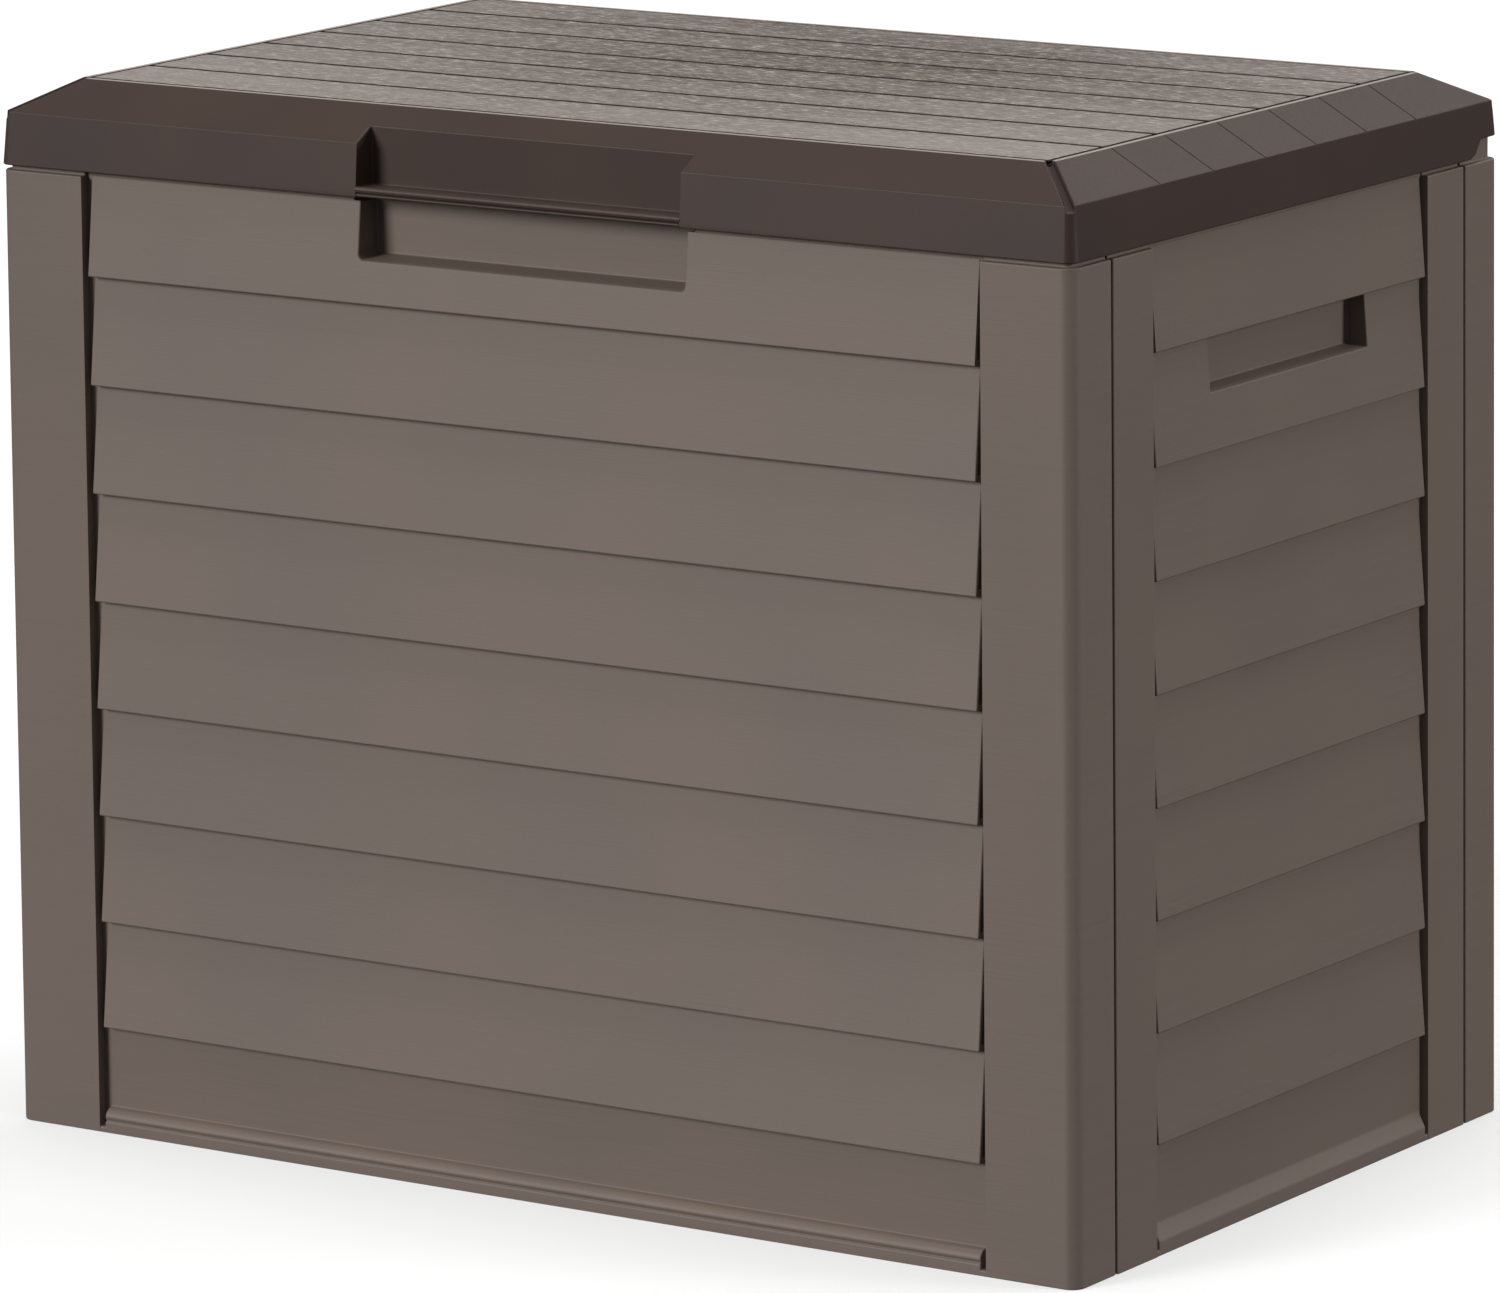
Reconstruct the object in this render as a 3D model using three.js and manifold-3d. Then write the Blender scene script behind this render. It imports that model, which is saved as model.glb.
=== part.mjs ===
// Deck storage box: louvred resin walls with corner posts, and a hinged lid with a plank deck.
// Millimetres, +Z up, +X along the front, +Y towards the back.
// The origin is the centre of the footprint, at ground level.
import * as THREE from 'three';
import { mergeVertices } from 'three/addons/utils/BufferGeometryUtils.js';
import Module from 'manifold-3d';

const wasm = await Module();
wasm.setup();

// ---- Body ----
const WIDTH = 610; // over the post faces, at the top of the walls
const DEPTH = 392;
const WALL_TOP = 474; // top of the posts and slats
const FLARE = 1.8; // how much further out each wall stands at the ground
const WALL = 2.6; // moulded wall thickness
const CORNER_R = 7;
const POST_FACE = 49.3; // post width on the front and the back
const POST_RETURN = 33.5; // length of a post's wrap on to the side
const SEAM = 1.5; // open joint between that wrap and the side panel
const STRIP_INNER = 70.1; // corner to the inner edge of the side panel's flat strip
const FLANGE = 14; // inward foot flange that carries the floor

// ---- Slats ----
const SLAT_PITCH = 53.2;
const SLAT_STEPS = 8; // overlapped slat edges below the top slat
const TOP_SLAT_EDGE = 425.3; // height of the top slat's lower edge
const GAP_BOTTOM = 2.8; // the shadow gaps close this far above the ground
// Recesses from the post face: the panel that each slat rises from, and a slat's lower edge.
// The gap is the shadow gap between the slat ends and the post.
const FRONT_SLAT = { panel: 5.5, edge: 0.2, gap: 3.1 };
const SIDE_SLAT = { panel: 4, edge: 0.2, gap: 2.2 };
// Foot of the front and back: a round-topped ledge over a groove and a plain lower band.
const LEDGE = { top: 12.2, crest: 7.4, grooveZ: 6, groove: 1.2 };
// Foot of the sides: the panel slopes out to a plain lower band.
const SIDE_FOOT = { top: 14.5, band: 7 };

// ---- Neck that rises into the lid ----
const NECK_INSET = 3.2; // recess over the posts and the side strips
const NECK_BEHIND = 0.35; // over the slats it stands this far behind their face
const NECK_WALL = 2.6;
const NECK_TOP = 490;
const NECK_TOP_REAR = 485;

// ---- Finger pocket in the front and hand holds in the sides ----
const POCKET_HALF = 93;
const POCKET_BOTTOM = 445.7;
const POCKET_DEPTH = 18.3;
const POCKET_R = 2.8;
const POCKET_FALL = 0.1; // slope of the pocket's sill
const POCKET_THROAT = 4; // extra half width above the wall top
const HOLD_HALF = 72;
const HOLD_BOTTOM = 399;
const HOLD_BACK = 13.3; // recess of the hand hold's back
const HOLD_FALL = 0.13; // slope of the hand hold's sill

// ---- Corner screws ----
const TONGUE_RECESS = 8.5; // the side panel's joining tongue behind the post wrap
const TONGUE_REACH = 26.5;
const TONGUE_DRILL = 30; // length of the drill that opens the tongue's screw holes
const TONGUE_Z = [5, 470];
const SCREW_HEIGHTS = { lower: 60, middle: 240, upper: 420 };
const SCREW_FROM_CORNER = 21;
const SCREW_R = 1.7;
const SCREW_HEAD_R = 4;
const SCREW_HEAD = 2.2;
const SCREW_LENGTH = 9.2;
const BOSS_R = 5;

// ---- Floor ----
const FLOOR_Z = [6, 8.6];
const FLOOR_REST = 2.9;
const FLOOR_INSET_X = 11.6;
const FLOOR_INSET_Y = 9.2;
const FLOOR_EDGE = 3;
const RIB = 2.2;
const FLOOR_RIBS_X = 5;
const FLOOR_RIBS_Y = 3;

// ---- Lid ----
const SKIRT = { z: 476.3, x: 305.5, y: 196.5, r: 6 };
const RIDGE = { z: 502.3, x: 303.5, y: 194.5, r: 5 };
const BROW = { z: 517.2, x: 276.6, y: 168, r: 1.5 };
const LID_VOID = [
  { z: 470, x: 304, y: 195, r: 5 },
  { z: 500.4, x: 301.5, y: 192.5, r: 4 },
  { z: 511.2, x: 282.3, y: 173.7, r: 2 },
];
const REAR_CUT = [[166, 460], [166, 475.7], [171.8, 478], [177.6, 484.8], [200, 485.2], [200, 460]];
const DECK = { x: 272.6, y: 164, bottom: 513.9, groove: 3.6, grooveDepth: 1.6, planks: 7 };
const DECK_GAP = 1.9;
const DECK_SEAT = 513.6;
const MITRE_WIDTH = 4.4;
const MITRE_DEPTH = 4;
const MITRE_BACKING = 2.2;
const MITRE_START = -4; // along the diagonal, measured out from the brow corner
const MITRE_PAST_RIDGE = 8; // how far it runs on past the ridge corner
// The plank joints run on down the side bevels as fine grooves, which stop short of the deck's rim.
const BEVEL_LINE = { width: 0.9, depth: 0.4, stop: 0.9 };
const GRIP_HALF = 92; // the recess over the finger lip
const GRIP_BACK = 13.5;
const GRIP_WALL = 2;
const LIP = { bottom: 476.6, upperR: 1.6, lowerR: 0.9, step: 0.8, proud: 0.1 };
const LID_RIBS = [5, 3];
const LID_RIB_BOTTOM = 504;
const REST_X = [-250, -150, 150, 250];
const REST_Y = [-100, 0, 100];
const REST_REACH = 12; // how far the stops come in from the wall's face
const REST_Z = [490.3, 506.3];

// ---- Hinges ----
const HINGE_X = { left: -190, right: 190 };
const HINGE_RECESS = 5; // pin axis, in from the back face
const HINGE_Z = 481.5;
const KNUCKLE_R = 4.2;
const KNUCKLE_WEB = [3.7, 7.5]; // recesses of the web that carries a fixed knuckle
const PIN_R = 1.8;
const PIN_CLEARANCE = 0.3;
const LID_KNUCKLE = 30;
const LID_WEB_TOP = 505.3; // top of the web that hangs the lid's knuckle
const BODY_KNUCKLE = 18;
const KNUCKLE_GAP = 0.5;
const PIN_HEAD = { r: 3, length: 2.4 };
const HINGE_NOTCH = 39; // half width of the opening in the neck

const ARC_STEPS = 5;
const ROUND_STEPS = 12;
const OVERLAP = 0.6; // how far joined solids run into each other
const CLEAR = 5; // how far a cutting solid runs past the surface that it opens

const bodyResin = { color: 0x72685f, roughness: 0.55, metalness: 0 };
const lidResin = { color: 0x4f4541, roughness: 0.5, metalness: 0 };
const deckResin = { color: 0x8b827a, roughness: 0.65, metalness: 0 };
const steel = { color: 0x9a9c9e, roughness: 0.35, metalness: 1 };

// ---- Solid helpers ----

function solid(geometry) {
  const bare = new THREE.BufferGeometry();
  bare.setAttribute('position', geometry.getAttribute('position'));
  bare.setIndex(geometry.getIndex());
  const merged = mergeVertices(bare, 1e-4);
  const index = merged.getIndex().array;
  const triangles = [];
  for (let i = 0; i < index.length; i += 3) {
    const [a, b, c] = [index[i], index[i + 1], index[i + 2]];
    if (a !== b && b !== c && c !== a) {
      triangles.push(a, b, c);
    }
  }
  return new wasm.Manifold(new wasm.Mesh({
    numProp: 3,
    vertProperties: Float32Array.from(merged.getAttribute('position').array),
    triVerts: Uint32Array.from(triangles),
  }));
}

function join(solids) {
  return solids.reduce((whole, next) => whole.add(next));
}

function cut(whole, tools) {
  return tools.reduce((rest, tool) => rest.subtract(tool), whole);
}

function geometryOf(body) {
  const mesh = body.getMesh();
  const geometry = new THREE.BufferGeometry();
  geometry.setAttribute('position', new THREE.BufferAttribute(Float32Array.from(mesh.vertProperties), 3));
  geometry.setIndex(Array.from(mesh.triVerts));
  return geometry;
}

// Lowest and highest of two distances, taken on one side of the middle.
function spread(side, a, b) {
  return [Math.min(side * a, side * b), Math.max(side * a, side * b)];
}

function outline(points) {
  return new THREE.Shape(points.map(([a, b]) => new THREE.Vector2(a, b)));
}

function arc(cx, cy, radius, from, to) {
  const points = [];
  for (let i = 0; i <= ARC_STEPS; i += 1) {
    const angle = THREE.MathUtils.degToRad(from + (to - from) * i / ARC_STEPS);
    points.push([cx + radius * Math.cos(angle), cy + radius * Math.sin(angle)]);
  }
  return points;
}

function extrude(points, length) {
  return new THREE.ExtrudeGeometry(outline(points), { depth: length, bevelEnabled: false });
}

// Outline in (x, y), raised from z0 to z1.
function sweepZ(points, z0, z1) {
  return solid(extrude(points, z1 - z0).translate(0, 0, z0));
}

// Outline in (y, z), swept from x0 to x1.
function sweepX(points, x0, x1) {
  const turn = new THREE.Matrix4().makeBasis(
    new THREE.Vector3(0, 1, 0),
    new THREE.Vector3(0, 0, 1),
    new THREE.Vector3(1, 0, 0),
  );
  return solid(extrude(points, x1 - x0).applyMatrix4(turn).translate(x0, 0, 0));
}

// Outline in (x, z), swept from y0 to y1.
function sweepY(points, y0, y1) {
  return solid(extrude(points, y1 - y0).rotateX(Math.PI / 2).translate(0, y1, 0));
}

function block([x0, x1], [y0, y1], [z0, z1]) {
  const box = new THREE.BoxGeometry(x1 - x0, y1 - y0, z1 - z0);
  return solid(box.translate((x0 + x1) / 2, (y0 + y1) / 2, (z0 + z1) / 2));
}

function rod(radius, x0, x1, y, z) {
  const bar = new THREE.CylinderGeometry(radius, radius, x1 - x0, ROUND_STEPS);
  return solid(bar.rotateZ(Math.PI / 2).translate((x0 + x1) / 2, y, z));
}

function roundedRectangle({ x, y, r }) {
  return [
    ...arc(x - r, y - r, r, 0, 90),
    ...arc(r - x, y - r, r, 90, 180),
    ...arc(r - x, r - y, r, 180, 270),
    ...arc(x - r, r - y, r, 270, 360),
  ];
}

// Closed solid through a stack of rounded rectangles.
function loft(rings) {
  const loops = rings.map(roundedRectangle);
  const count = loops[0].length;
  const position = loops.flatMap((loop, k) => loop.flatMap(([x, y]) => [x, y, rings[k].z]));
  const index = [];
  for (let k = 0; k + 1 < loops.length; k += 1) {
    for (let i = 0; i < count; i += 1) {
      const a = k * count + i;
      const b = k * count + (i + 1) % count;
      index.push(a, b, b + count, a, b + count, a + count);
    }
  }
  const last = (loops.length - 1) * count;
  for (let i = 1; i + 1 < count; i += 1) {
    index.push(0, i + 1, i, last, last + i, last + i + 1);
  }
  const geometry = new THREE.BufferGeometry();
  geometry.setAttribute('position', new THREE.Float32BufferAttribute(position, 3));
  geometry.setIndex(index);
  return solid(geometry);
}

// ---- Wall panels ----
// Each wall is built facing -Y in its own frame: X along the wall, Y inwards from the post face.

function slatEdges() {
  return Array.from({ length: SLAT_STEPS }, (_, i) => TOP_SLAT_EDGE - SLAT_PITCH * i);
}

// A foot's outline runs from its top down to the ground.
function ledgeFoot(slat) {
  const round = Array.from({ length: ARC_STEPS }, (_, i) => {
    const angle = Math.PI / 2 * (i + 1) / ARC_STEPS;
    return [
      slat.panel - (slat.panel - slat.edge) * Math.sin(angle),
      LEDGE.crest + (LEDGE.top - LEDGE.crest) * Math.cos(angle),
    ];
  });
  return [
    [slat.panel, LEDGE.top],
    ...round,
    [LEDGE.groove, LEDGE.grooveZ],
    [slat.edge, LEDGE.grooveZ - LEDGE.groove / 2],
    [slat.edge, 0],
  ];
}

function slopedFoot(slat) {
  return [[slat.panel, SIDE_FOOT.top], [slat.edge, SIDE_FOOT.band], [slat.edge, 0]];
}

// Recess of the top slat's face at the wall top.
function rimRecess(slat) {
  return slat.edge + (slat.panel - slat.edge) * (WALL_TOP - TOP_SLAT_EDGE) / SLAT_PITCH;
}

// Section through the lapped slats: the inside follows the outside at the wall thickness.
function louvreSection(slat, foot) {
  const rim = rimRecess(slat);
  const laps = slatEdges().flatMap((z) => [[slat.edge, z], [slat.panel, z]]);
  const inside = laps.map(([recess, z]) => [recess + WALL, z + WALL]).reverse();
  return [
    [rim, WALL_TOP],
    ...laps,
    ...foot,
    [slat.panel + WALL, 0],
    ...inside,
    [rim + WALL, WALL_TOP],
  ];
}

// Everything behind the face of the slat whose lower edge is at edgeZ, set back into its wall.
function behindSlat(slat, edgeZ) {
  const deep = POCKET_DEPTH * 2;
  return sweepX([
    [slat.edge + OVERLAP, edgeZ],
    [slat.panel + OVERLAP, edgeZ + SLAT_PITCH],
    [deep, edgeZ + SLAT_PITCH],
    [deep, edgeZ],
  ], -WIDTH, WIDTH);
}

function louvres(slat, foot, halfLength) {
  return sweepX(louvreSection(slat, foot), -halfLength, halfLength);
}

// The two shadow gaps: a floor strip flush with the panel, closed off just above the ground.
function shadowGaps(slat, halfOpening) {
  return [-1, 1].flatMap((side) => {
    const span = spread(side, halfOpening - slat.gap - WALL, halfOpening + OVERLAP);
    return [
      block(span, [slat.panel, slat.panel + WALL], [0, WALL_TOP - OVERLAP]),
      block(span, [slat.edge, slat.panel + WALL], [0, GAP_BOTTOM]),
    ];
  });
}

function footFlange(slat, halfLength) {
  return block([-halfLength, halfLength], [slat.panel + OVERLAP, FLANGE], [0, WALL]);
}

// Band that runs along the end wall and round a corner, between two recesses.
function cornerBand(side, startX, [outer, inner], [z0, z1]) {
  const cx = WIDTH / 2 - CORNER_R;
  const points = [
    [startX, outer],
    ...arc(cx, CORNER_R, CORNER_R - outer, -90, 0),
    [WIDTH / 2 - outer, POST_RETURN],
    [WIDTH / 2 - inner, POST_RETURN],
    ...arc(cx, CORNER_R, CORNER_R - inner, 0, -90),
    [startX, inner],
  ];
  return sweepZ(points.map(([x, y]) => [side * x, y]), z0, z1);
}

function post(side) {
  const innerX = WIDTH / 2 - POST_FACE;
  return join([
    cornerBand(side, innerX, [0, WALL], [0, WALL_TOP]),
    block(spread(side, innerX, innerX + WALL), [0, FRONT_SLAT.panel + WALL], [0, WALL_TOP]),
  ]);
}

// Neck over the slats, with a return at each end that meets the neck over the posts.
function slatNeck(slat, halfOpening, neckTop) {
  const outer = rimRecess(slat) + NECK_BEHIND;
  const inner = outer + NECK_WALL;
  const heights = [WALL_TOP - WALL, neckTop];
  const returns = [-1, 1].map((side) => (
    block(spread(side, halfOpening, halfOpening + NECK_WALL), [NECK_INSET, inner], heights)
  ));
  return [block([-halfOpening - OVERLAP, halfOpening + OVERLAP], [outer, inner], heights), ...returns];
}

function postNeck(neckTop) {
  const inner = NECK_INSET + NECK_WALL;
  const startX = WIDTH / 2 - POST_FACE;
  return [-1, 1].flatMap((side) => [
    cornerBand(side, startX, [0, inner], [WALL_TOP - WALL, WALL_TOP]),
    cornerBand(side, startX, [NECK_INSET, inner], [WALL_TOP - WALL, neckTop]),
  ]);
}

function screwBosses() {
  const wrapInside = WIDTH / 2 - WALL;
  const start = WIDTH / 2 - TONGUE_RECESS + PIN_CLEARANCE;
  return [-1, 1].flatMap((side) => Object.values(SCREW_HEIGHTS).map((z) => (
    rod(BOSS_R, ...spread(side, start, wrapInside + OVERLAP), SCREW_FROM_CORNER, z)
  )));
}

// Pilot holes stop inside the wrap, so the outside stays plain.
function pilotHoles() {
  const start = WIDTH / 2 - TONGUE_RECESS - 1;
  const end = WIDTH / 2 - WALL - 1;
  return [-1, 1].flatMap((side) => Object.values(SCREW_HEIGHTS).map((z) => (
    rod(SCREW_R + PIN_CLEARANCE, ...spread(side, start, end), SCREW_FROM_CORNER, z)
  )));
}

// Front or back wall with its two wrap-round posts.
function endWall(neckTop) {
  const opening = WIDTH / 2 - POST_FACE;
  return join([
    louvres(FRONT_SLAT, ledgeFoot(FRONT_SLAT), opening - FRONT_SLAT.gap),
    ...shadowGaps(FRONT_SLAT, opening),
    footFlange(FRONT_SLAT, WIDTH / 2 - WALL - OVERLAP),
    post(-1),
    post(1),
    ...postNeck(neckTop),
    ...slatNeck(FRONT_SLAT, opening, neckTop),
    ...screwBosses(),
  ]);
}

// Shape of the finger pocket in (x, z), round at its lower corners.
function pocketOutline(half, bottom, radius) {
  return [
    [-half, NECK_TOP + 2 * CLEAR],
    ...arc(radius - half, bottom + radius, radius, 180, 270),
    ...arc(half - radius, bottom + radius, radius, 270, 360),
    [half, NECK_TOP + 2 * CLEAR],
  ];
}

function fallOutwards(geometry, slope, pivot) {
  const position = geometry.getAttribute('position');
  for (let i = 0; i < position.count; i += 1) {
    position.setZ(i, position.getZ(i) + slope * (position.getY(i) - pivot));
  }
  return geometry;
}

function fingerPocket() {
  const shellHalf = POCKET_HALF + WALL;
  const throatHalf = POCKET_HALF + POCKET_THROAT;
  const shellDepth = [0, POCKET_DEPTH + WALL];
  const collar = [rimRecess(FRONT_SLAT) + NECK_BEHIND, POCKET_DEPTH + WALL];
  const outside = sweepY(pocketOutline(shellHalf, POCKET_BOTTOM - WALL, POCKET_R), ...shellDepth);
  const hollowGeometry = extrude(pocketOutline(POCKET_HALF, POCKET_BOTTOM, POCKET_R), POCKET_DEPTH + CLEAR)
    .rotateX(Math.PI / 2)
    .translate(0, POCKET_DEPTH, 0);
  return {
    shell: [
      outside
        .intersect(behindSlat(FRONT_SLAT, TOP_SLAT_EDGE))
        .subtract(block([-WIDTH, WIDTH], [-DEPTH, DEPTH], [WALL_TOP, NECK_TOP * 2])),
      block([-throatHalf - WALL, throatHalf + WALL], collar, [WALL_TOP - WALL, NECK_TOP]),
    ],
    hollow: [
      solid(fallOutwards(hollowGeometry, POCKET_FALL, 0)),
      block([-throatHalf, throatHalf], [-CLEAR, POCKET_DEPTH], [WALL_TOP, NECK_TOP + CLEAR]),
    ],
  };
}

function frontPanel() {
  const pocket = fingerPocket();
  return cut(join([endWall(NECK_TOP), ...pocket.shell]), [...pocket.hollow, ...pilotHoles()]);
}

// One hinge's two fixed knuckles, each on a web that stands on the shelf.
function bodyKnuckles(centre) {
  const inner = LID_KNUCKLE / 2 + KNUCKLE_GAP;
  const outer = inner + BODY_KNUCKLE;
  return [[-outer, -inner], [inner, outer]].flatMap((span) => {
    const [x0, x1] = span.map((x) => centre + x);
    return [
      rod(KNUCKLE_R, x0, x1, HINGE_RECESS, HINGE_Z),
      block([x0, x1], KNUCKLE_WEB, [WALL_TOP - WALL, HINGE_Z]),
    ];
  });
}

function backPanel() {
  const centres = Object.values(HINGE_X);
  const inner = NECK_INSET + NECK_WALL;
  const notches = centres.map((x) => (
    block([x - HINGE_NOTCH, x + HINGE_NOTCH], [-CLEAR, inner + CLEAR], [WALL_TOP, NECK_TOP])
  ));
  const shelves = centres.map((x) => (
    block([x - HINGE_NOTCH, x + HINGE_NOTCH], [NECK_INSET, KNUCKLE_WEB[1]], [WALL_TOP - WALL, WALL_TOP])
  ));
  const bores = centres.map((x) => (
    rod(PIN_R + PIN_CLEARANCE, x - HINGE_NOTCH, x + HINGE_NOTCH, HINGE_RECESS, HINGE_Z)
  ));
  const wall = cut(endWall(NECK_TOP_REAR), [...notches, ...pilotHoles()]);
  return cut(join([wall, ...shelves, ...centres.flatMap(bodyKnuckles)]), bores);
}

// Flat edge strip of the side panel and the joining tongue behind the post wrap.
function sideStrip(side) {
  const start = DEPTH / 2 - STRIP_INNER;
  const end = DEPTH / 2 - POST_RETURN - SEAM;
  return [
    block(spread(side, start, end), [0, WALL], [0, WALL_TOP]),
    block(spread(side, start, start + WALL), [0, SIDE_SLAT.panel + WALL], [0, WALL_TOP]),
    block(spread(side, end - WALL, end), [0, TONGUE_RECESS + WALL], [0, WALL_TOP]),
    block(spread(side, start, end), [0, NECK_INSET + NECK_WALL], [WALL_TOP - WALL, WALL_TOP]),
    block(spread(side, start, end), [NECK_INSET, NECK_INSET + NECK_WALL], [WALL_TOP - WALL, NECK_TOP]),
    block(spread(side, end - WALL, end + TONGUE_REACH), [TONGUE_RECESS, TONGUE_RECESS + WALL], TONGUE_Z),
  ];
}

function tongueHoles() {
  const offset = DEPTH / 2 - SCREW_FROM_CORNER;
  const radius = SCREW_R + PIN_CLEARANCE;
  const hole = new THREE.CylinderGeometry(radius, radius, TONGUE_DRILL, ROUND_STEPS);
  return [-1, 1].flatMap((side) => Object.values(SCREW_HEIGHTS).map((z) => (
    solid(hole.clone().translate(side * offset, 0, z))
  )));
}

// Pocket below the top slat, which overhangs it; the sill falls outwards.
function handHold() {
  const half = HOLD_HALF + WALL;
  const shell = block([-half, half], [0, HOLD_BACK + WALL], [HOLD_BOTTOM - WALL, TOP_SLAT_EDGE])
    .intersect(behindSlat(SIDE_SLAT, TOP_SLAT_EDGE - SLAT_PITCH));
  const roofDepth = [SIDE_SLAT.panel, HOLD_BACK + WALL];
  const roof = block([-half, half], roofDepth, [TOP_SLAT_EDGE - OVERLAP, TOP_SLAT_EDGE + WALL]);
  const start = -CLEAR;
  const sillAt = (recess) => HOLD_BOTTOM + HOLD_FALL * (recess - SIDE_SLAT.panel / 2);
  const hollow = sweepX([
    [start, sillAt(start)],
    [HOLD_BACK, sillAt(HOLD_BACK)],
    [HOLD_BACK, TOP_SLAT_EDGE],
    [start, TOP_SLAT_EDGE],
  ], -HOLD_HALF, HOLD_HALF);
  return { shell: [shell, roof], hollow };
}

function sidePanel() {
  const opening = DEPTH / 2 - STRIP_INNER;
  const end = DEPTH / 2 - POST_RETURN - SEAM;
  const hold = handHold();
  const wall = join([
    louvres(SIDE_SLAT, slopedFoot(SIDE_SLAT), opening - SIDE_SLAT.gap),
    ...shadowGaps(SIDE_SLAT, opening),
    footFlange(SIDE_SLAT, end),
    ...sideStrip(-1),
    ...sideStrip(1),
    ...slatNeck(SIDE_SLAT, opening, NECK_TOP),
    ...hold.shell,
  ]);
  return cut(wall, [hold.hollow, ...tongueHoles()]);
}

// ---- Floor ----

function ribGrid([halfX, halfY], [countX, countY], [z0, z1]) {
  const ribs = [];
  for (let i = 0; i < countX; i += 1) {
    const x = halfX * (2 * (i + 1) / (countX + 1) - 1);
    ribs.push(block([x - RIB / 2, x + RIB / 2], [-halfY, halfY], [z0, z1]));
  }
  for (let i = 0; i < countY; i += 1) {
    const y = halfY * (2 * (i + 1) / (countY + 1) - 1);
    ribs.push(block([-halfX, halfX], [y - RIB / 2, y + RIB / 2], [z0, z1]));
  }
  return ribs;
}

function floorPanel() {
  const x = WIDTH / 2 - FLOOR_INSET_X;
  const y = DEPTH / 2 - FLOOR_INSET_Y;
  const skirtX = WIDTH / 2 - FLANGE - FLOOR_EDGE;
  const skirtY = DEPTH / 2 - FLANGE - FLOOR_EDGE;
  const frame = block([-skirtX, skirtX], [-skirtY, skirtY], [0, FLOOR_Z[1]]);
  const frameVoid = block([RIB - skirtX, skirtX - RIB], [RIB - skirtY, skirtY - RIB], [-1, FLOOR_Z[0]]);
  return join([
    block([-x, x], [-y, y], [FLOOR_REST, FLOOR_Z[1]])
      .subtract(block([FLOOR_EDGE - x, x - FLOOR_EDGE], [FLOOR_EDGE - y, y - FLOOR_EDGE], [0, FLOOR_Z[0]])),
    frame.subtract(frameVoid),
    ...ribGrid([skirtX, skirtY], [FLOOR_RIBS_X, FLOOR_RIBS_Y], [0, FLOOR_Z[0] + OVERLAP]),
  ]);
}

// ---- Lid ----

// Upright slab on the line from a deck corner to the ridge corner, for the mitre notches.
function mitreSlab([signX, signY], width, depth) {
  const run = Math.hypot(RIDGE.x - BROW.x, RIDGE.y - BROW.y);
  const fall = BROW.z - RIDGE.z;
  const floorAt = (d) => BROW.z - fall * d / run - depth;
  const [from, to] = [MITRE_START, run + MITRE_PAST_RIDGE];
  const top = BROW.z + CLEAR;
  const profile = [[from, floorAt(from)], [to, floorAt(to)], [to, top], [from, top]];
  const slab = extrude(profile, width).rotateX(Math.PI / 2).translate(0, width / 2, 0);
  const heading = Math.atan2(signY * (RIDGE.y - BROW.y), signX * (RIDGE.x - BROW.x));
  return solid(slab.rotateZ(heading).translate(signX * BROW.x, signY * BROW.y, 0));
}

// Middle of each joint between two planks.
function plankJoints() {
  const plank = 2 * DECK.y / DECK.planks;
  return Array.from({ length: DECK.planks - 1 }, (_, i) => (i + 1) * plank - DECK.y);
}

function bevelLines() {
  const length = Math.hypot(RIDGE.x - BROW.x, BROW.z - RIDGE.z);
  const along = [(BROW.x - RIDGE.x) / length, (BROW.z - RIDGE.z) / length];
  const at = (distance, height) => [
    RIDGE.x + along[0] * distance + along[1] * height,
    RIDGE.z + along[1] * distance - along[0] * height,
  ];
  const end = length - BEVEL_LINE.stop;
  const profile = [at(-1, -BEVEL_LINE.depth), at(end, -BEVEL_LINE.depth), at(end, 1), at(-1, 1)];
  const half = BEVEL_LINE.width / 2;
  return [-1, 1].flatMap((side) => plankJoints().map((y) => (
    sweepY(profile.map(([x, z]) => [side * x, z]), y - half, y + half)
  )));
}

// Section of the finger lip in (y, z): a plate whose nose has a large ridge over a small one.
function lipSection() {
  const front = -SKIRT.y - LIP.proud;
  const back = GRIP_BACK + GRIP_WALL - DEPTH / 2;
  const middle = LIP.bottom + 2 * LIP.lowerR;
  const top = middle + 2 * LIP.upperR;
  const upperY = front + LIP.upperR;
  const lowerY = front + LIP.upperR - LIP.lowerR / 2;
  return [
    [back, LIP.bottom],
    ...arc(lowerY, LIP.bottom + LIP.lowerR, LIP.lowerR, 270, 100),
    ...arc(upperY, middle + LIP.upperR, LIP.upperR, 260, 60),
    [upperY + LIP.upperR, top - LIP.step],
    [back, top - LIP.step],
  ];
}

function lidGrip() {
  const half = GRIP_HALF + GRIP_WALL;
  const back = GRIP_BACK - DEPTH / 2;
  return {
    shell: block([-half, half], [-DEPTH, back + GRIP_WALL], [LIP.bottom, BROW.z]),
    hollow: block([-GRIP_HALF, GRIP_HALF], [-DEPTH, back], [LIP.bottom - CLEAR, BROW.z + CLEAR]),
    lip: sweepX(lipSection(), -GRIP_HALF - OVERLAP, GRIP_HALF + OVERLAP),
  };
}

// Stops on the underside that meet the neck when the lid is shut.
function restStops() {
  const front = REST_X.map((x) => block([x - RIB, x + RIB], [-SKIRT.y, REST_REACH - DEPTH / 2], REST_Z));
  const sides = [-1, 1].flatMap((side) => REST_Y.map((y) => (
    block(spread(side, WIDTH / 2 - REST_REACH, SKIRT.x), [y - RIB, y + RIB], REST_Z)
  )));
  return [...front, ...sides];
}

function lidKnuckle(centre) {
  const y = DEPTH / 2 - HINGE_RECESS;
  const span = [centre - LID_KNUCKLE / 2, centre + LID_KNUCKLE / 2];
  return [
    rod(KNUCKLE_R, ...span, y, HINGE_Z),
    block(span, [y - KNUCKLE_R, y - 1], [HINGE_Z, LID_WEB_TOP]),
  ];
}

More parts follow.
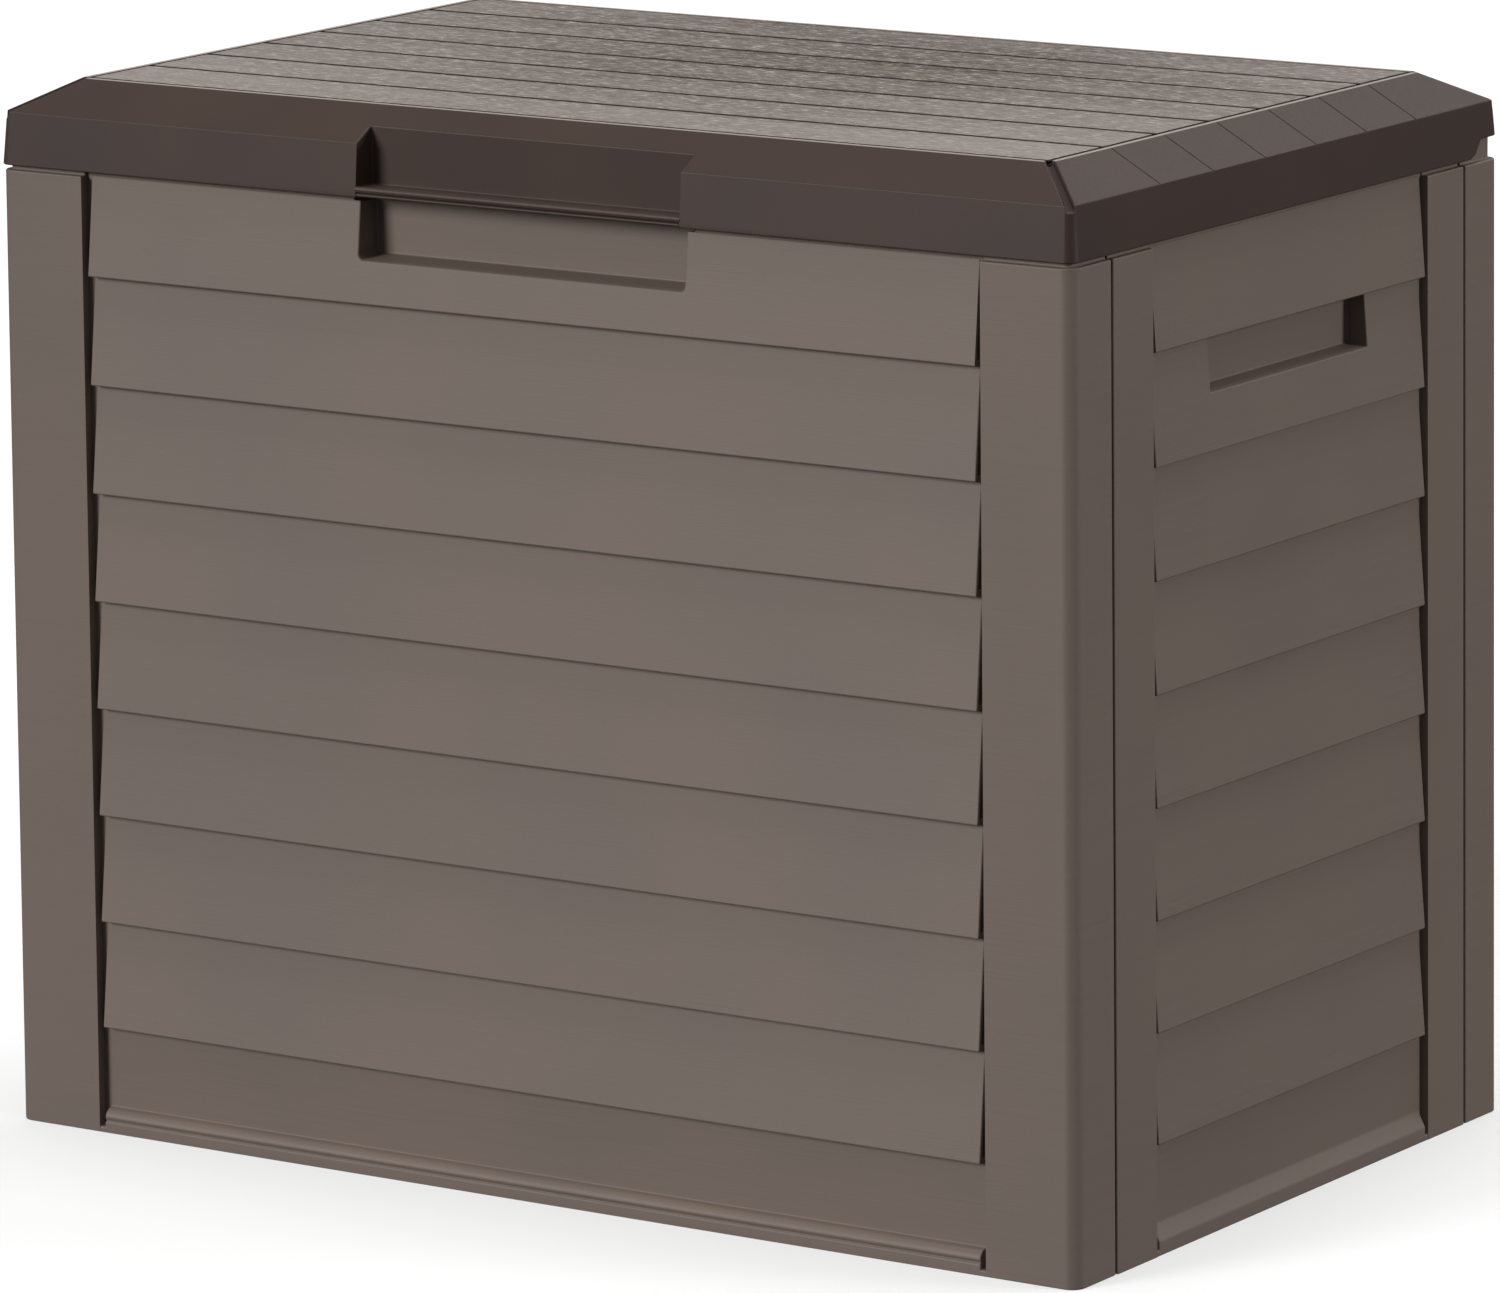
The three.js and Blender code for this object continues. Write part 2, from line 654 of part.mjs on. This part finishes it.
function lidFrame() {
  const corners = [[1, 1], [1, -1], [-1, 1], [-1, -1]];
  const outside = loft([SKIRT, RIDGE, BROW]);
  const grip = lidGrip();
  const backing = MITRE_WIDTH + 2 * MITRE_BACKING;
  const inner = join([
    ...ribGrid([BROW.x, BROW.y], LID_RIBS, [LID_RIB_BOTTOM, DECK_SEAT - 1]),
    ...restStops(),
    ...corners.map((corner) => mitreSlab(corner, backing, MITRE_DEPTH + MITRE_BACKING)),
    grip.shell,
  ]);
  const seatX = DECK.x + DECK_GAP;
  const seatY = DECK.y + DECK_GAP;
  const shell = outside.subtract(loft(LID_VOID)).add(inner.intersect(outside));
  const trimmed = cut(shell, [
    sweepX(REAR_CUT, -WIDTH, WIDTH),
    block([-seatX, seatX], [-seatY, seatY], [DECK_SEAT, BROW.z + CLEAR]),
    grip.hollow,
    ...corners.map((corner) => mitreSlab(corner, MITRE_WIDTH, MITRE_DEPTH)),
    ...bevelLines(),
  ]);
  const y = DEPTH / 2 - HINGE_RECESS;
  const centres = Object.values(HINGE_X);
  const bores = centres.map((x) => rod(PIN_R + PIN_CLEARANCE, x - LID_KNUCKLE, x + LID_KNUCKLE, y, HINGE_Z));
  return cut(join([trimmed, grip.lip, ...centres.flatMap(lidKnuckle)]), bores);
}

// One moulded panel with open grooves between its planks.
function lidDeck() {
  const half = DECK.groove / 2;
  const heights = [BROW.z - DECK.grooveDepth, BROW.z + CLEAR];
  const reach = DECK.x + CLEAR;
  const grooves = plankJoints().map((y) => block([-reach, reach], [y - half, y + half], heights));
  return cut(block([-DECK.x, DECK.x], [-DECK.y, DECK.y], [DECK.bottom, BROW.z]), grooves);
}

// ---- Fasteners ----

// Turned part from (radius, height) points, standing on the XY plane along +Y.
function turned(profile) {
  return new THREE.LatheGeometry(profile.map(([r, h]) => new THREE.Vector2(r, h)), ROUND_STEPS);
}

function screwGeometry() {
  return turned([
    [0, 0],
    [SCREW_HEAD_R * 0.6, 0],
    [SCREW_HEAD_R * 0.9, SCREW_HEAD * 0.3],
    [SCREW_HEAD_R, SCREW_HEAD * 0.7],
    [SCREW_HEAD_R, SCREW_HEAD],
    [SCREW_R, SCREW_HEAD],
    [SCREW_R, SCREW_LENGTH - 1.2],
    [SCREW_R * 0.4, SCREW_LENGTH],
    [0, SCREW_LENGTH],
  ]);
}

function pinGeometry() {
  const length = LID_KNUCKLE + 2 * (BODY_KNUCKLE + KNUCKLE_GAP) + 1.2;
  return turned([
    [0, 0],
    [PIN_HEAD.r * 0.8, 0],
    [PIN_HEAD.r, PIN_HEAD.length * 0.4],
    [PIN_HEAD.r, PIN_HEAD.length],
    [PIN_R, PIN_HEAD.length],
    [PIN_R, PIN_HEAD.length + length],
    [PIN_R * 0.6, PIN_HEAD.length + length + 0.6],
    [0, PIN_HEAD.length + length + 0.6],
  ]);
}

// ---- Assembly ----

function flareAt(z) {
  return Math.max(0, 1 - z / WALL_TOP) * FLARE;
}

// The walls stand slightly further out towards the ground.
function flare(geometry) {
  const position = geometry.getAttribute('position');
  for (let i = 0; i < position.count; i += 1) {
    const outward = flareAt(position.getZ(i));
    position.setX(i, position.getX(i) * (1 + outward / (WIDTH / 2)));
    position.setY(i, position.getY(i) * (1 + outward / (DEPTH / 2)));
  }
  return geometry;
}

function meshOf(name, geometry, look) {
  const mesh = new THREE.Mesh(geometry, new THREE.MeshStandardMaterial(look));
  mesh.name = name;
  return mesh;
}

// Turns a wall from its own frame to its place, by quarter turns about Z.
function wallMesh(name, wall, quarterTurns, distance) {
  const geometry = geometryOf(wall).translate(0, -distance, 0).rotateZ(quarterTurns * Math.PI / 2);
  return meshOf(name, flare(geometry), bodyResin);
}

function walls() {
  const side = sidePanel();
  return [
    wallMesh('front_panel', frontPanel(), 0, DEPTH / 2),
    wallMesh('back_panel', backPanel(), 2, DEPTH / 2),
    wallMesh('right_side_panel', side, 1, WIDTH / 2),
    wallMesh('left_side_panel', side, 3, WIDTH / 2),
  ];
}

function cornerScrews() {
  const screws = [];
  for (const [endName, endSign] of [['front', -1], ['back', 1]]) {
    for (const [sideName, sideSign] of [['left', -1], ['right', 1]]) {
      for (const [levelName, z] of Object.entries(SCREW_HEIGHTS)) {
        const screw = meshOf(`corner_screw_${endName}_${sideName}_${levelName}`, screwGeometry(), steel);
        const headX = WIDTH / 2 - TONGUE_RECESS - WALL - PIN_CLEARANCE - SCREW_HEAD + flareAt(z);
        const y = DEPTH / 2 - SCREW_FROM_CORNER + flareAt(z);
        screw.rotation.z = -sideSign * Math.PI / 2;
        screw.position.set(sideSign * headX, endSign * y, z);
        screws.push(screw);
      }
    }
  }
  return screws;
}

function hingePins() {
  const reach = LID_KNUCKLE / 2 + KNUCKLE_GAP + BODY_KNUCKLE + PIN_CLEARANCE + PIN_HEAD.length;
  return Object.entries(HINGE_X).map(([name, centre]) => {
    const pin = meshOf(`hinge_pin_${name}`, pinGeometry(), steel);
    const outward = Math.sign(centre);
    pin.rotation.z = outward * Math.PI / 2;
    pin.position.set(centre + outward * reach, DEPTH / 2 - HINGE_RECESS, HINGE_Z);
    return pin;
  });
}

const box = new THREE.Group();
box.add(meshOf('floor_panel', flare(geometryOf(floorPanel())), bodyResin));
box.add(...walls());
box.add(...cornerScrews());
box.add(meshOf('lid_frame', geometryOf(lidFrame()), lidResin));
box.add(meshOf('lid_deck', geometryOf(lidDeck()), deckResin));
box.add(...hingePins());

export default box;
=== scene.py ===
"""Deck storage box: louvred resin body, bevelled hinged lid with a plank deck."""
import math

import bmesh
import bpy
from mathutils import Matrix, Vector, noise


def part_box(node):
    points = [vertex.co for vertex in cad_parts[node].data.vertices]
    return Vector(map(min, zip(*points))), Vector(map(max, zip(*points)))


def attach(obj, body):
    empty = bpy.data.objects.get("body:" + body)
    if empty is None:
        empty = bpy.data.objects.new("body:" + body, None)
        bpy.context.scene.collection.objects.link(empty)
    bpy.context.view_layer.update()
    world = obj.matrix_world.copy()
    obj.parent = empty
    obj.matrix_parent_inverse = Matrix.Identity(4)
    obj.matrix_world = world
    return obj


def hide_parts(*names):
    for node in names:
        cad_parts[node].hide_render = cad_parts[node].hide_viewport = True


MM = 0.001

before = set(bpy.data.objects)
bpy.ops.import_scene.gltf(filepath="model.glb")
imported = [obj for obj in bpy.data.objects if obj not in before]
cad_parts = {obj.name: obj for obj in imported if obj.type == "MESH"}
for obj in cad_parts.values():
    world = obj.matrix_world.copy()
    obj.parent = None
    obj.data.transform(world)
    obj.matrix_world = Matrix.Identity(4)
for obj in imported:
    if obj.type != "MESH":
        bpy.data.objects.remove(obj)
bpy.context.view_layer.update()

# ---- Camera, fitted to the photograph's perspective (metres, radians, millimetres) ----
CAMERA_AT = Vector((2.48187, -3.71432, 1.14591))
CAMERA_AZIMUTH = math.radians(33.7746)
CAMERA_ELEVATION = math.radians(11.5199)
CAMERA_ROLL = -0.0107178
CAMERA_LENS = 223.96

# ---- Refined CAD pieces ----
WELD = 0.005 * MM  # vertices closer than this are one vertex
FLAT = math.radians(0.6)  # faces that meet at less than this are one face
SHARP = math.radians(25)  # edges that turn more than this are rounded
WALL_ROUND = 0.8 * MM
FLOOR_ROUND = 0.5 * MM
LID_ROUND = 0.8 * MM
HARDWARE_ROUND = 0.3 * MM
BEVEL_SEGMENTS = 3
END_MARGIN = 0.01  # a point this share of an edge from either end does not count as beside it
SIDE_SHARE = 0.45  # most of a neighbouring edge that one bevel may take up
THIN_SHARE = 0.3  # most of a thin face's width that one bevel may take up
IN_LINE = 0.8  # neighbours closer than this to an edge's own direction don't limit its bevel

# ---- Stage ----
FLOOR_HALF = 40
HORIZON_FADE = 0.1  # the surroundings dim over this much height to each side of the horizon

# ---- Deck planks ----
PLANKS = 7
GROOVE = 3.6 * MM
PLANK_BASE = 515 * MM  # the planks stand on the base at this height
BASE_OVERLAP = 0.2 * MM  # the base reaches this far up into the planks
PLANK_STEP_X = 3 * MM
PLANK_STEP_Y = 0.5 * MM
PLANK_TOP = 517.2 * MM
PLANK_ROUND = 0.15 * MM
GRAIN_DEPTH = 0.12 * MM
FINE_GRAIN = (60, 900)  # noise waves per metre along and across a plank
BROAD_GRAIN = (9, 220)
BROAD_SHIFT = 31  # takes the broad grain's noise away from the fine grain's
SEED_STEP = 7.3  # from one plank's grain to the next
PLANK_INSET = 0.8 * MM  # the planks stop this far inside the deck's edges
# Painted sheen: the planks are coloured lighter towards the deck's front edge and towards their
# ends.
SHEEN_FROM = 0.03  # planks get paler from this y ...
SHEEN_TO = -0.165  # ... to this one, near the front edge
END_SHEEN_FROM = 0.08  # planks get paler from this distance off the middle ...
END_SHEEN_TO = 0.27  # ... to this one, near their ends
JOINT_DARK = 0.13 * MM  # the joints are dark from this far below the planks' top
JOINT_FADE = 0.05 * MM  # and fade in over this much height
RIM_HIGHLIGHT = 0.3 * MM  # the painted highlight on the lid's rim reaches this far down


# ---- Materials ----

class Nodes:
    """Short way to build a node material."""

    def __init__(self, name):
        self.material = bpy.data.materials.new(name)
        self.material.use_nodes = True
        self.tree = self.material.node_tree
        self.shader = self.tree.nodes["Principled BSDF"]

    def add(self, kind, settings=(), **inputs):
        made = self.tree.nodes.new(kind)
        for key, value in dict(settings).items():
            setattr(made, key, value)
        for key, value in inputs.items():
            self.feed(made, key.replace("_", " "), value)
        return made

    def feed(self, target, socket, value):
        if isinstance(value, bpy.types.NodeSocket):
            self.tree.links.new(value, target.inputs[socket])
        else:
            target.inputs[socket].default_value = value

    def object_point(self, scale):
        """Place on the object in metres, stretched by a scale for each axis."""
        coordinates = self.add("ShaderNodeTexCoord")
        mapping = self.add("ShaderNodeMapping", Vector=coordinates.outputs["Object"], Scale=scale)
        return mapping.outputs["Vector"]

    def along(self, axis):
        """Place on the object in metres, along one axis."""
        coordinates = self.add("ShaderNodeTexCoord")
        parts = self.add("ShaderNodeSeparateXYZ", Vector=coordinates.outputs["Object"])
        return parts.outputs[axis]

    def noise(self, scale, detail, roughness=0.5):
        made = self.add(
            "ShaderNodeTexNoise",
            Vector=self.object_point(scale),
            Scale=1.0,
            Detail=detail,
            Roughness=roughness,
        )
        return made.outputs["Fac"]

    def levels(self, value, low, high, to_low=0.0, to_high=1.0):
        made = self.add("ShaderNodeMapRange", Value=value)
        sockets = ("From Min", "From Max", "To Min", "To Max")
        for socket, number in zip(sockets, (low, high, to_low, to_high)):
            made.inputs[socket].default_value = number
        return made.outputs["Result"]

    def blend(self, factor, first, second):
        made = self.add("ShaderNodeMix", settings={"data_type": "RGBA"})
        self.feed(made, 0, factor)
        self.feed(made, 6, first)
        self.feed(made, 7, second)
        return made.outputs[2]

    def bump(self, height, distance, strength):
        made = self.add("ShaderNodeBump", Height=height, Distance=distance, Strength=strength)
        return made.outputs["Normal"]

    def finish(self, **inputs):
        for key, value in inputs.items():
            self.feed(self.shader, key.replace("_", " "), value)
        return self.material


def tone(red, green, blue):
    """Linear colour from the usual 0 to 255 screen values."""
    def linear(value):
        value /= 255
        return value / 12.92 if value <= 0.04045 else ((value + 0.055) / 1.055) ** 2.4
    return (linear(red), linear(green), linear(blue), 1.0)


def body_resin():
    """Satin resin with a fine brushed grain that runs level along every wall."""
    n = Nodes("body_resin")
    strokes = n.noise((14, 14, 2600), detail=4, roughness=0.6)
    cloud = n.noise((9, 9, 9), detail=2)
    colour = n.blend(n.levels(cloud, 0.35, 0.65), tone(114, 101, 92), tone(110, 98, 91))
    colour = n.blend(n.levels(strokes, 0.3, 0.7, 0.0, 0.35), colour, tone(123, 111, 103))
    rough = n.levels(strokes, 0.25, 0.75, 0.46, 0.6)
    return n.finish(
        Base_Color=colour,
        Roughness=rough,
        Normal=n.bump(strokes, 0.08 * MM, 0.6),
        Specular_IOR_Level=0.3,
    )


def lid_resin():
    """Smooth dark resin with a very fine moulding texture and a painted highlight along the deck's
    rim.
    """
    n = Nodes("lid_resin")
    grain = n.noise((900, 900, 900), detail=2)
    cloud = n.noise((12, 12, 12), detail=2)
    colour = n.blend(n.levels(cloud, 0.35, 0.65), tone(65, 52, 46), tone(61, 49, 45))
    # Painted highlight: the rounded top of the lid's rim is coloured light, standing in for the
    # light it catches.
    rim = n.levels(n.along("Z"), PLANK_TOP - RIM_HIGHLIGHT, PLANK_TOP - RIM_HIGHLIGHT / 2)
    colour = n.blend(rim, colour, tone(158, 149, 142))
    return n.finish(
        Base_Color=colour,
        Roughness=n.levels(grain, 0.3, 0.7, 0.42, 0.5),
        Normal=n.bump(grain, 0.03 * MM, 0.4),
        Specular_IOR_Level=0.2,
    )


def deck_resin():
    """Wood-effect resin: short light flecks over long soft streaks, dark down in the joints."""
    n = Nodes("deck_resin")
    flecks = n.noise((130, 820, 300), detail=4, roughness=0.7)
    streaks = n.noise((7, 120, 40), detail=4, roughness=0.65)
    patches = n.noise((4, 9, 4), detail=2)
    # Painted sheen: the planks lighten towards the front edge and towards their ends.
    front_sheen = n.levels(n.along("Y"), SHEEN_FROM, SHEEN_TO, 0.0, 0.32)
    ends = n.add("ShaderNodeMath", settings={"operation": "ABSOLUTE"}, Value=n.along("X"))
    end_sheen = n.levels(ends.outputs["Value"], END_SHEEN_FROM, END_SHEEN_TO, 0.0, 0.2)
    colour = n.blend(n.levels(streaks, 0.3, 0.7), tone(78, 70, 65), tone(122, 114, 108))
    colour = n.blend(n.levels(patches, 0.35, 0.65, 0.2, 0.0), colour, tone(72, 65, 60))
    colour = n.blend(n.levels(flecks, 0.54, 0.68), colour, tone(200, 192, 185))
    colour = n.blend(n.levels(flecks, 0.46, 0.32), colour, tone(58, 50, 46))
    # Colour of the painted sheen, blended in towards the front edge and the plank ends.
    sheen_tone = tone(172, 164, 158)
    colour = n.blend(front_sheen, colour, sheen_tone)
    colour = n.blend(end_sheen, colour, sheen_tone)
    joint_top = PLANK_TOP - JOINT_DARK
    joint = n.levels(n.along("Z"), joint_top - JOINT_FADE, joint_top, 1, 0)
    colour = n.blend(joint, colour, tone(30, 22, 18))
    return n.finish(
        Base_Color=colour,
        Roughness=n.levels(flecks, 0.3, 0.7, 0.72, 0.58),
        Normal=n.bump(flecks, 0.2 * MM, 0.6),
        Specular_IOR_Level=0.3,
    )


def steel():
    """Zinc-plated steel for the screws and hinge pins."""
    n = Nodes("steel")
    turned = n.noise((1500, 1500, 1500), detail=2)
    return n.finish(
        Base_Color=n.blend(turned, (0.56, 0.56, 0.57, 1), (0.66, 0.66, 0.67, 1)),
        Metallic=1.0,
        Roughness=n.levels(turned, 0.3, 0.7, 0.25, 0.4),
    )


def floor_paint():
    """Pale floor, lit a little by itself so that it stays white."""
    n = Nodes("floor_paint")
    cloud = n.noise((0.6, 0.6, 0.6), detail=2)
    return n.finish(
        Base_Color=n.blend(cloud, (0.49, 0.49, 0.49, 1), (0.51, 0.51, 0.51, 1)),
        Emission_Color=(1, 1, 1, 1),
        Emission_Strength=0.46,
        Roughness=0.9,
    )


MATERIALS = {
    "body_resin": body_resin(),
    "lid_resin": lid_resin(),
    "deck_resin": deck_resin(),
    "steel": steel(),
}


# ---- Pieces ----

def made_object(name, bm, slot, body, *nodes):
    """Turns a bmesh into a shown piece that rides on a body and stands for CAD nodes."""
    mesh = bpy.data.meshes.new(name)
    bm.to_mesh(mesh)
    bm.free()
    mesh.polygons.foreach_set("use_smooth", [True] * len(mesh.polygons))
    piece = bpy.data.objects.new(name, mesh)
    bpy.context.scene.collection.objects.link(piece)
    mesh.materials.append(MATERIALS[slot])
    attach(piece, body)
    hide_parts(*nodes)
    return piece


def reach_across(point, edge):
    """Distance from a point to an edge, where the point lies beside it and not past its ends."""
    start, end = (vert.co for vert in edge.verts)
    along = end - start
    place = (point - start).dot(along) / along.length_squared
    if END_MARGIN < place < 1 - END_MARGIN:
        return (start + along * place - point).length
    return math.inf


def edge_room(edge):
    """How wide a bevel an edge can take before it meets another edge's bevel."""
    along = (edge.verts[1].co - edge.verts[0].co).normalized()
    room = math.inf
    for vert in edge.verts:
        for other in vert.link_edges:
            across = other.other_vert(vert).co - vert.co
            if other is not edge and abs(across.normalized().dot(along)) < IN_LINE:
                room = min(room, across.length * SIDE_SHARE)
    for face in edge.link_faces:
        for other in face.edges:
            if not set(edge.verts) & set(other.verts):
                reaches = [reach_across(vert.co, edge) for vert in other.verts]
                reaches += [reach_across(vert.co, other) for vert in edge.verts]
                room = min(room, *(reach * THIN_SHARE for reach in reaches))
    return room


def refined(node, slot, body, width):
    """A CAD node's own shape with its edges rounded, as far as the room beside each edge allows."""
    bm = bmesh.new()
    bm.from_mesh(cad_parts[node].data)
    bmesh.ops.remove_doubles(bm, verts=bm.verts, dist=WELD)
    bmesh.ops.dissolve_limit(bm, angle_limit=FLAT, verts=bm.verts, edges=bm.edges)
    # A large concave face tessellates wrongly once its edges are rounded, so it is split first.
    bmesh.ops.connect_verts_concave(bm, faces=bm.faces)
    weight = bm.edges.layers.float.new("bevel_weight_edge")
    for edge in bm.edges:
        if edge.calc_face_angle(0) > SHARP:
            edge[weight] = min(1.0, edge_room(edge) / width)
    piece = made_object("look_" + node, bm, slot, body, node)
    bevel = piece.modifiers.new("rounded", "BEVEL")
    bevel.limit_method = "WEIGHT"
    bevel.width = width
    bevel.segments = BEVEL_SEGMENTS
    bevel.use_clamp_overlap = False
    piece.modifiers.new("shading", "WEIGHTED_NORMAL").keep_sharp = True


def plank_height(y, half, top):
    """Height of a plank's surface, y measured from its middle line."""
    edge = max(0.0, abs(y) - (half - PLANK_ROUND)) / PLANK_ROUND
    rounding = PLANK_ROUND * (1 - math.sqrt(max(0.0, 1 - edge * edge)))
    return top - rounding


def plank_grain(x, y, seed):
    """How far the grain cuts down into a plank's surface."""
    fine = noise.noise(Vector((x * FINE_GRAIN[0], y * FINE_GRAIN[1], seed)))
    broad = noise.noise(Vector((x * BROAD_GRAIN[0], y * BROAD_GRAIN[1], seed + BROAD_SHIFT)))
    return GRAIN_DEPTH * max(0.0, min(1.0, 0.5 + 0.5 * fine + 0.5 * broad))


def add_plank(bm, middle, half_x, half_y, top, seed):
    """One closed plank: a relief grid on top, with straight sides down to the base."""
    columns = round(2 * half_x / PLANK_STEP_X)
    rows = round(2 * half_y / PLANK_STEP_Y)
    grid = []
    for i in range(columns + 1):
        x = -half_x + 2 * half_x * i / columns
        line = []
        for j in range(rows + 1):
            y = -half_y + 2 * half_y * j / rows
            z = plank_height(y, half_y, top) - plank_grain(x, middle + y, seed)
            line.append(bm.verts.new((x, middle + y, z)))
        grid.append(line)
    for i in range(columns):
        for j in range(rows):
            bm.faces.new((grid[i][j], grid[i + 1][j], grid[i + 1][j + 1], grid[i][j + 1]))
    rim = (
        [grid[i][0] for i in range(columns + 1)]
        + [grid[columns][j] for j in range(1, rows + 1)]
        + [grid[i][rows] for i in range(columns - 1, -1, -1)]
        + [grid[0][j] for j in range(rows - 1, 0, -1)]
    )
    foot = [bm.verts.new((v.co.x, v.co.y, PLANK_BASE)) for v in rim]
    count = len(rim)
    for k in range(count):
        bm.faces.new((rim[k], foot[k], foot[(k + 1) % count], rim[(k + 1) % count]))
    bm.faces.new(list(reversed(foot)))


def add_block(bm, low, high):
    """A closed box between two opposite corners."""
    size = [b - a for a, b in zip(low, high)]
    middle = [(a + b) / 2 for a, b in zip(low, high)]
    matrix = Matrix.Translation(middle) @ Matrix.Diagonal((*size, 1))
    bmesh.ops.create_cube(bm, size=1, matrix=matrix)


def deck():
    """The planks, side by side with grooves between them, on one base."""
    low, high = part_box("lid_deck")
    bm = bmesh.new()
    pitch = (high.y - low.y) / PLANKS
    for k in range(PLANKS):
        front = low.y + pitch * k + (GROOVE / 2 if k else PLANK_INSET)
        back = low.y + pitch * (k + 1) - (GROOVE / 2 if k + 1 < PLANKS else PLANK_INSET)
        half = (back - front) / 2
        add_plank(bm, (front + back) / 2, high.x - PLANK_INSET, half, high.z, SEED_STEP * k)
    add_block(bm, (low.x, low.y, low.z), (high.x, high.y, PLANK_BASE + BASE_OVERLAP))
    piece = made_object("look_lid_deck", bm, "deck_resin", "lid", "lid_deck")
    piece.modifiers.new("shading", "WEIGHTED_NORMAL").keep_sharp = True


# ---- Stage ----

def add_floor():
    """Pale floor that takes the object's shadow but throws no light back on it."""
    bm = bmesh.new()
    bmesh.ops.create_grid(bm, x_segments=1, y_segments=1, size=FLOOR_HALF)
    mesh = bpy.data.meshes.new("floor")
    bm.to_mesh(mesh)
    bm.free()
    floor = bpy.data.objects.new("floor", mesh)
    mesh.materials.append(floor_paint())
    bpy.context.scene.collection.objects.link(floor)
    floor.visible_glossy = False
    floor.visible_diffuse = False


def add_sun(name, towards, softness, strength):
    """Even light from one side, softened by the width of its source in degrees."""
    data = bpy.data.lights.new(name, "SUN")
    data.angle = math.radians(softness)
    data.energy = strength
    light = bpy.data.objects.new(name, data)
    light.rotation_mode = "QUATERNION"
    light.rotation_quaternion = Vector(towards).to_track_quat("-Z", "Y")
    bpy.context.scene.collection.objects.link(light)


def add_world(above, below):
    """White surroundings, dimmer under the horizon."""
    world = bpy.data.worlds.new("studio")
    world.use_nodes = True
    tree = world.node_tree
    direction = tree.nodes.new("ShaderNodeTexCoord")
    parts = tree.nodes.new("ShaderNodeSeparateXYZ")
    strength = tree.nodes.new("ShaderNodeMapRange")
    levels = (
        ("From Min", -HORIZON_FADE),
        ("From Max", HORIZON_FADE),
        ("To Min", below),
        ("To Max", above),
    )
    for socket, number in levels:
        strength.inputs[socket].default_value = number
    background = tree.nodes["Background"]
    background.inputs["Color"].default_value = (1, 1, 1, 1)
    tree.links.new(direction.outputs["Generated"], parts.inputs["Vector"])
    tree.links.new(parts.outputs["Z"], strength.inputs["Value"])
    tree.links.new(strength.outputs["Result"], background.inputs["Strength"])
    bpy.context.scene.world = world


def add_camera():
    data = bpy.data.cameras.new("camera")
    data.sensor_width = 36
    data.lens = CAMERA_LENS
    data.clip_end = 100
    camera = bpy.data.objects.new("camera", data)
    azimuth, elevation = CAMERA_AZIMUTH, CAMERA_ELEVATION
    back = Vector((
        math.sin(azimuth) * math.cos(elevation),
        -math.cos(azimuth) * math.cos(elevation),
        math.sin(elevation),
    ))
    level = (-back).cross(Vector((0, 0, 1))).normalized()
    upright = level.cross(-back)
    right = level * math.cos(CAMERA_ROLL) + upright * math.sin(CAMERA_ROLL)
    up = upright * math.cos(CAMERA_ROLL) - level * math.sin(CAMERA_ROLL)
    turned = Matrix((right, up, back)).transposed().to_4x4()
    camera.matrix_world = Matrix.Translation(CAMERA_AT) @ turned
    bpy.context.scene.collection.objects.link(camera)
    bpy.context.scene.camera = camera


def build():
    """Every piece of the object."""
    for node in ("front_panel", "back_panel", "left_side_panel", "right_side_panel"):
        refined(node, "body_resin", "box", WALL_ROUND)
    refined("floor_panel", "body_resin", "box", FLOOR_ROUND)
    refined("lid_frame", "lid_resin", "lid", LID_ROUND)
    deck()
    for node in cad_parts:
        if node.startswith(("corner_screw", "hinge_pin")):
            refined(node, "steel", "box", HARDWARE_ROUND)


def dress():
    """Floor, lights, surroundings and camera."""
    add_floor()
    add_sun("key", (0.42, 0.85, -0.3), 24, 2.45)
    add_sun("top", (0.0, 0.0, -1.0), 30, 1.9)
    add_sun("side", (-0.9, -0.38, -0.24), 16, 1.42)
    add_sun("back", (-0.1, -0.8, -0.58), 50, 0.6)
    add_world(0.18, 0.08)
    add_camera()
    bpy.context.scene.view_settings.view_transform = "Standard"


build()
dress()
